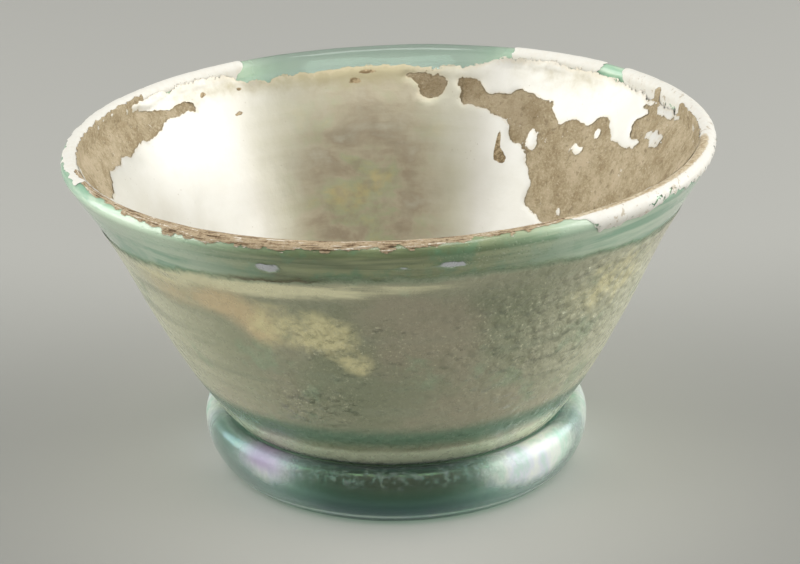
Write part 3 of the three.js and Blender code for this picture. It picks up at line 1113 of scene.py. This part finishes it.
class MESH_OT_bowl_linings(bpy.types.Operator):
    """Build the white film and the brown crusts on the inside of the wall"""

    bl_idname = "mesh.bowl_linings"
    bl_label = "Film and crusts inside"

    def execute(self, context):
        section = Section()
        finish_piece(self.film(section), "pearl_lining", ["inner_film"], pearl_film())
        material = brown_crust()
        for side, angles in (("right", (-39, 73)), ("rear", (73, 88)), ("left", (131, 195))):
            mesh = self.crust(section, angles)
            finish_piece(mesh, "crust_" + side, ["soil_crust_" + side], material)
        return {"FINISHED"}

    def film(self, section):
        """The white film from its ragged top to the middle of the floor, with gaps where the crust is."""
        floor = section.way[-1]

        def fit(angle):
            return film_top(angle) - 0.7 * MM, floor

        skin = Skin(section, (1.6 * MM, floor), (0, 360), sizes().cell, fit)
        wobble = noise_at(skin.flat, 3.2 * MM, 1)
        nibbled = noise_at(skin.flat, 1.8 * MM, 9)
        top = skin.way - film_top(skin.angle)
        edge = np.minimum(
            -crust_reach(section, skin) + (wobble * 0.4 + nibbled * 0.55) * MM,
            (top + (wobble * 0.9 + nibbled * 0.2) * MM) * 0.45,
        )
        off_rear = turned(skin.angle, 95) - 95
        side = smoothstep(-np.maximum(off_rear, -off_rear * 1.1), -42, -4)
        upper = np.clip((skin.height / MM - 36) / 20, -1, 1.2)
        skin.write(
            edge=edge,
            # Painted shade at the rear, strongest low down, which also brings mottled hues there.
            dusk=side * (1 - 0.34 * upper),
            marks=spotted(skin, FILM_MARKS),
            # Darker just behind the front lip.
            behind_lip=0.6 * smoothstep(skin.height, 50 * MM, 54 * MM) * within(skin.angle, 267, 22, 42),
            cream=spotted(skin, FILM_CREAMS),
        )
        rounding = smoothstep(edge, -0.3 * MM, 0.8 * MM)
        thin = 0.12 * MM + 0.25 * MM * smoothstep(skin.way, 3 * MM, 5 * MM)
        waves = 0.05 * MM * noise_at(skin.flat, 9 * MM, 2, 2)
        fillet = 0.1 * MM * bell(skin.way, 4.7 * MM, 1.8 * MM)
        front = thin + (sizes().film - thin) * rounding + waves * rounding
        skin.lift(front + fillet * smoothstep(edge, 0, 1.5 * MM))
        return skin.mesh

    def crust(self, section, angles):
        """A fibrous crust where the white film leaves a gap."""
        turns, first, last = crust_span(section, angles, section.inside(28 * MM))

        def fit(angle):
            return np.interp(angle, turns, first), np.interp(angle, turns, last)

        skin = Skin(section, (CRUST_START, last.max()), (turns[0], turns[-1]), sizes().cell * 0.8, fit)
        fibres = noise_at(skin.flat * np.array((1, 1, 0.35)), 1.1 * MM, 3, 4)
        lumps = noise_at(skin.flat, 4 * MM, 4)
        from_lip = skin.way - 1.3 * MM + 0.5 * MM * noise_at(skin.flat, 1.5 * MM, 8)
        skin.write(
            edge=np.minimum(crust_reach(section, skin) + 1.2 * MM, from_lip),
            dark=spotted(skin, CRUST_SHADES),
        )
        front = sizes().crust * (0.75 + 0.3 * fibres + 0.25 * lumps)
        skin.lift(np.maximum(front, 0.1 * MM))
        return skin.mesh


class MESH_OT_bowl_outer_film(bpy.types.Operator):
    """Build the olive film on the outside of the wall"""

    bl_idname = "mesh.bowl_outer_film"
    bl_label = "Film outside"

    def execute(self, context):
        finish_piece(self.film(Section()), "olive_skin", ["outer_film"], olive_film())
        return {"FINISHED"}

    def film(self, section):
        """The film from its ragged top to just above the foot, pebbled on the right."""
        low = section.outside(10.5 * MM)

        def top(angle):
            return line_at(OUTER_TOP, turned(angle, FRONT))

        def fit(angle):
            flakes = 4.5 * sum(bell(turned(angle, FRONT), at, 7) for at in FLAKE_ANGLES)
            return section.outside((top(angle) + 1.6 + flakes) * MM), low

        skin = Skin(section, (section.outside(59.5 * MM), low), (0, 360), sizes().cell, fit)
        wobble = noise_at(skin.flat, 6 * MM, 5)
        pebble = noise_at(skin.flat, 1.3 * MM, 6, 2)
        ragged = noise_at(skin.flat, 1.6 * MM, 7)
        edge = top(skin.angle) * MM - skin.height + wobble * 0.5 * MM
        # Pebbled parts with pits, which also carry painted sparkles of light.
        pitted = np.clip(spotted(skin, OUTER_PITS) * (1 + 0.5 * wobble) + 0.12, 0, 1)
        flake = spotted(skin, OUTER_FLAKES)
        skin.write(
            edge=edge,
            pitted=pitted,
            flake=np.clip(flake * (1 + 0.6 * ragged), 0, 1),
            # Painted refraction near the base: a cream band, and a violet-pink line at the seam.
            low=1 - smoothstep(skin.height, 13.6 * MM, 17.0 * MM),
            seam=0.8 * (1 - smoothstep(skin.height, 10.8 * MM, 12.6 * MM)),
            rust=within(skin.angle, 250, 5, 11),
            **{name: spotted(skin, rows) for name, rows in OUTER_TONES.items()},
        )
        rise = np.clip(smoothstep(edge, -1.2 * MM, 1.2 * MM) + flake, 0, 1)
        thick = sizes().outer_film + 0.05 * MM * pebble * pitted - 0.06 * MM
        skin.lift(0.06 * MM + thick * rise, 0.03 * MM)
        return skin.mesh


class MESH_OT_bowl_lip_layers(bpy.types.Operator):
    """Build the white enamel and the brown soil on the lip"""

    bl_idname = "mesh.bowl_lip_layers"
    bl_label = "Layers on the lip"

    def execute(self, context):
        section = Section()
        enamel = white_enamel()
        for side, line in (("right", ENAMEL_RIGHT), ("rear", ENAMEL_REAR), ("left", ENAMEL_LEFT)):
            mesh = self.strip(section, line)
            finish_piece(mesh, "enamel_" + side, ["lip_enamel_" + side], enamel)
        finish_piece(self.strip(section, LIP_SOIL), "lip_soil", ["rim_soil_front"], lip_soil())
        return {"FINISHED"}

    def strip(self, section, line):
        """A thin strip over the lip from a ragged lower line to just under the film inside."""

        def fit(angle):
            return (line_at(line, angle) - 1.1) * MM, film_top(angle) + 0.5 * MM

        start = line[0][0]
        stop = line[-1][0]
        skin = Skin(section, (-4 * MM, 3 * MM), (start, stop), sizes().cell * 0.5, fit, LIP_REACH)
        ragged = noise_at(skin.flat, 2.4 * MM, start * 0.1, 4)
        thick = noise_at(skin.flat, 5 * MM, start * 0.2, 2)
        from_low = skin.way - line_at(line, skin.angle) * MM
        from_high = film_top(skin.angle) - skin.way
        ends = np.minimum(skin.angle - start, stop - skin.angle) * math.radians(1) * skin.reach
        slanted = ends - 0.9 * MM - 0.35 * np.abs(skin.way)
        edge = np.minimum(np.minimum(from_low, slanted) + ragged * 0.8 * MM, from_high + 0.45 * MM)
        side = turned(skin.angle, 340)
        skin.write(
            edge=edge,
            around=np.radians(skin.angle) * skin.reach / (5 * MM),
            across=skin.way / (0.32 * MM),
            stain=smoothstep(skin.way, -1.2 * MM, 0.3 * MM) * within(skin.angle, 322, 22, 34) * 1.2,
            flaky=smoothstep(side, 296, 310) * smoothstep(-side, -398, -384),
        )
        rounding = smoothstep(edge, -0.3 * MM, 0.6 * MM)
        inward = 1 - 0.8 * smoothstep(skin.way, 0.4 * MM, 1.8 * MM)
        skin.lift((0.06 + (0.14 + 0.02 * ragged + 0.05 * thick) * rounding * inward) * MM, 0.03 * MM)
        return skin.mesh


# The stage

# Softboxes: azimuth, elevation, distance, width, height and watts of each
SOFTBOXES = {
    "softbox_right": (4, 24, 0.95, 1.05, 0.85, 7.8),
    "softbox_left": (178, 24, 0.95, 1.05, 0.85, 6.5),
    "softbox_above": (270, 66, 1.1, 0.9, 0.6, 5.0),
}
LAMP_TARGET = (0, 0, 0.03)
SKY = (0.96, 0.98, 1.0, 1)
SKY_STRENGTH = 0.42

# The camera of the photograph, with its pitch below the level in degrees and its roll in radians
CAMERA_PLACE = (0, -0.3984, 0.1918)
CAMERA_PITCH = 21.58
CAMERA_ROLL = -0.0185
CAMERA_LENS = 101.9
CAMERA_SHIFT = (0.0125, -0.0025)


class SCENE_OT_bowl_stage(bpy.types.Operator):
    """Build the floor, the studio lamps and the camera"""

    bl_idname = "scene.bowl_stage"
    bl_label = "Stage"

    def execute(self, context):
        self.floor()
        self.lamps()
        self.camera(context.scene)
        world = bpy.data.worlds.new("studio")
        world.use_nodes = True
        background = world.node_tree.nodes["Background"]
        background.inputs["Color"].default_value = SKY
        background.inputs["Strength"].default_value = SKY_STRENGTH
        context.scene.world = world
        context.scene.view_settings.view_transform = "Standard"
        return {"FINISHED"}

    def floor(self):
        """A pale sweep: level under the bowl and curving up far behind it."""
        half = 2.5
        behind = 1.6
        bend = 0.8
        top = 2.6
        sunk = 0.05 * MM
        profile = [(-behind, 0.0), (behind, 0.0)]
        for turn in np.linspace(0.1, math.pi / 2, 12):
            profile.append((behind + bend * math.sin(turn), bend * (1 - math.cos(turn))))
        profile.append((behind + bend, top))
        bm = bmesh.new()
        verts = [bm.verts.new((-half, y, z - sunk)) for y, z in profile]
        edges = [bm.edges.new(pair) for pair in zip(verts, verts[1:])]
        out = bmesh.ops.extrude_edge_only(bm, edges=edges)["geom"]
        moved = [item for item in out if isinstance(item, bmesh.types.BMVert)]
        bmesh.ops.translate(bm, verts=moved, vec=(2 * half, 0, 0))
        face_outwards(bm)
        mesh = mesh_of(bm)
        mesh.materials.append(self.floor_material())
        floor = bpy.data.objects.new("floor", mesh)
        bpy.context.scene.collection.objects.link(floor)
        return floor

    def floor_material(self):
        """Plain and pale, with painted shade that darkens it in front and painted light that brightens it
        behind and round the bowl.
        """
        p = Paint("floor")
        x, y = (p.node("ShaderNodeSeparateXYZ", {}, {0: p.place}, k) for k in (0, 1))
        away = x * x * (1 / 0.055**2) + (y - 0.01) * (y - 0.01) * (1 / 0.06**2)
        painted_light_round_bowl = p.node("ShaderNodeMath", {"operation": "EXPONENT"}, {0: away * -1.0})
        # Painted shade and light: darker in front, lighter behind, and lighter round the bowl.
        level = p.step(y, 0.0, 0.12, 0.65, 0.94) + painted_light_round_bowl * 0.95
        inputs = {0: colours().floor[:], "Scale": level}
        tone = p.node("ShaderNodeVectorMath", {"operation": "SCALE"}, inputs)
        p.surface(Base_Color=tone, Roughness=0.9)
        return p.material

    def lamps(self):
        """Two large softboxes, left and right, and a dimmer one above."""
        for name, (azimuth, elevation, distance, width, height, watts) in SOFTBOXES.items():
            light = bpy.data.lights.new(name, "AREA")
            light.shape = "RECTANGLE"
            light.size = width
            light.size_y = height
            light.energy = watts
            lamp = bpy.data.objects.new(name, light)
            turn = math.radians(azimuth)
            rise = math.radians(elevation)
            level = math.cos(rise)
            away = Vector((math.cos(turn) * level, math.sin(turn) * level, math.sin(rise)))
            lamp.location = Vector(LAMP_TARGET) + away * distance
            lamp.rotation_euler = away.to_track_quat("Z", "Y").to_euler()
            bpy.context.scene.collection.objects.link(lamp)

    def camera(self, scene):
        """The camera of the photograph: in front, looking down at the bowl."""
        data = bpy.data.cameras.new("camera")
        data.sensor_width = 36
        data.lens = CAMERA_LENS
        data.shift_x, data.shift_y = CAMERA_SHIFT
        data.clip_start = 0.01
        camera = bpy.data.objects.new("camera", data)
        pitch = math.radians(CAMERA_PITCH)
        roll = CAMERA_ROLL
        look = Vector((0, math.cos(pitch), -math.sin(pitch)))
        level = Vector((1, 0, 0))
        rise = level.cross(look)
        right = level * math.cos(roll) + rise * math.sin(roll)
        up = -level * math.sin(roll) + rise * math.cos(roll)
        axes = Matrix((right, up, -look)).transposed()
        camera.matrix_world = Matrix.Translation(CAMERA_PLACE) @ axes.to_4x4()
        scene.collection.objects.link(camera)
        scene.camera = camera


class VIEW3D_PT_bowl(bpy.types.Panel):
    """Steps of the bowl, in order"""

    bl_idname = "VIEW3D_PT_bowl"
    bl_label = "Blown glass bowl"
    bl_space_type = "VIEW_3D"
    bl_region_type = "UI"
    bl_category = "Bowl"

    def draw(self, context):
        for group in (context.scene.bowl_sizes, context.scene.bowl_colours):
            column = self.layout.column(align=True)
            for key in group.__annotations__:
                column.prop(group, key)
        for operator in OPERATORS:
            self.layout.operator(operator.bl_idname)


OPERATORS = (
    MESH_OT_bowl_glass,
    MESH_OT_bowl_linings,
    MESH_OT_bowl_outer_film,
    MESH_OT_bowl_lip_layers,
    SCENE_OT_bowl_stage,
)
CLASSES = (BowlSizes, BowlColours, *OPERATORS, VIEW3D_PT_bowl)


def register():
    for cls in CLASSES:
        bpy.utils.register_class(cls)
    bpy.types.Scene.bowl_sizes = bpy.props.PointerProperty(type=BowlSizes)
    bpy.types.Scene.bowl_colours = bpy.props.PointerProperty(type=BowlColours)


def unregister():
    del bpy.types.Scene.bowl_sizes
    del bpy.types.Scene.bowl_colours
    for cls in reversed(CLASSES):
        bpy.utils.unregister_class(cls)


def main():
    """Builds every piece in order."""
    register()
    bpy.ops.mesh.bowl_glass()
    bpy.ops.mesh.bowl_linings()
    bpy.ops.mesh.bowl_outer_film()
    bpy.ops.mesh.bowl_lip_layers()
    bpy.ops.scene.bowl_stage()


if __name__ == "__main__":
    main()
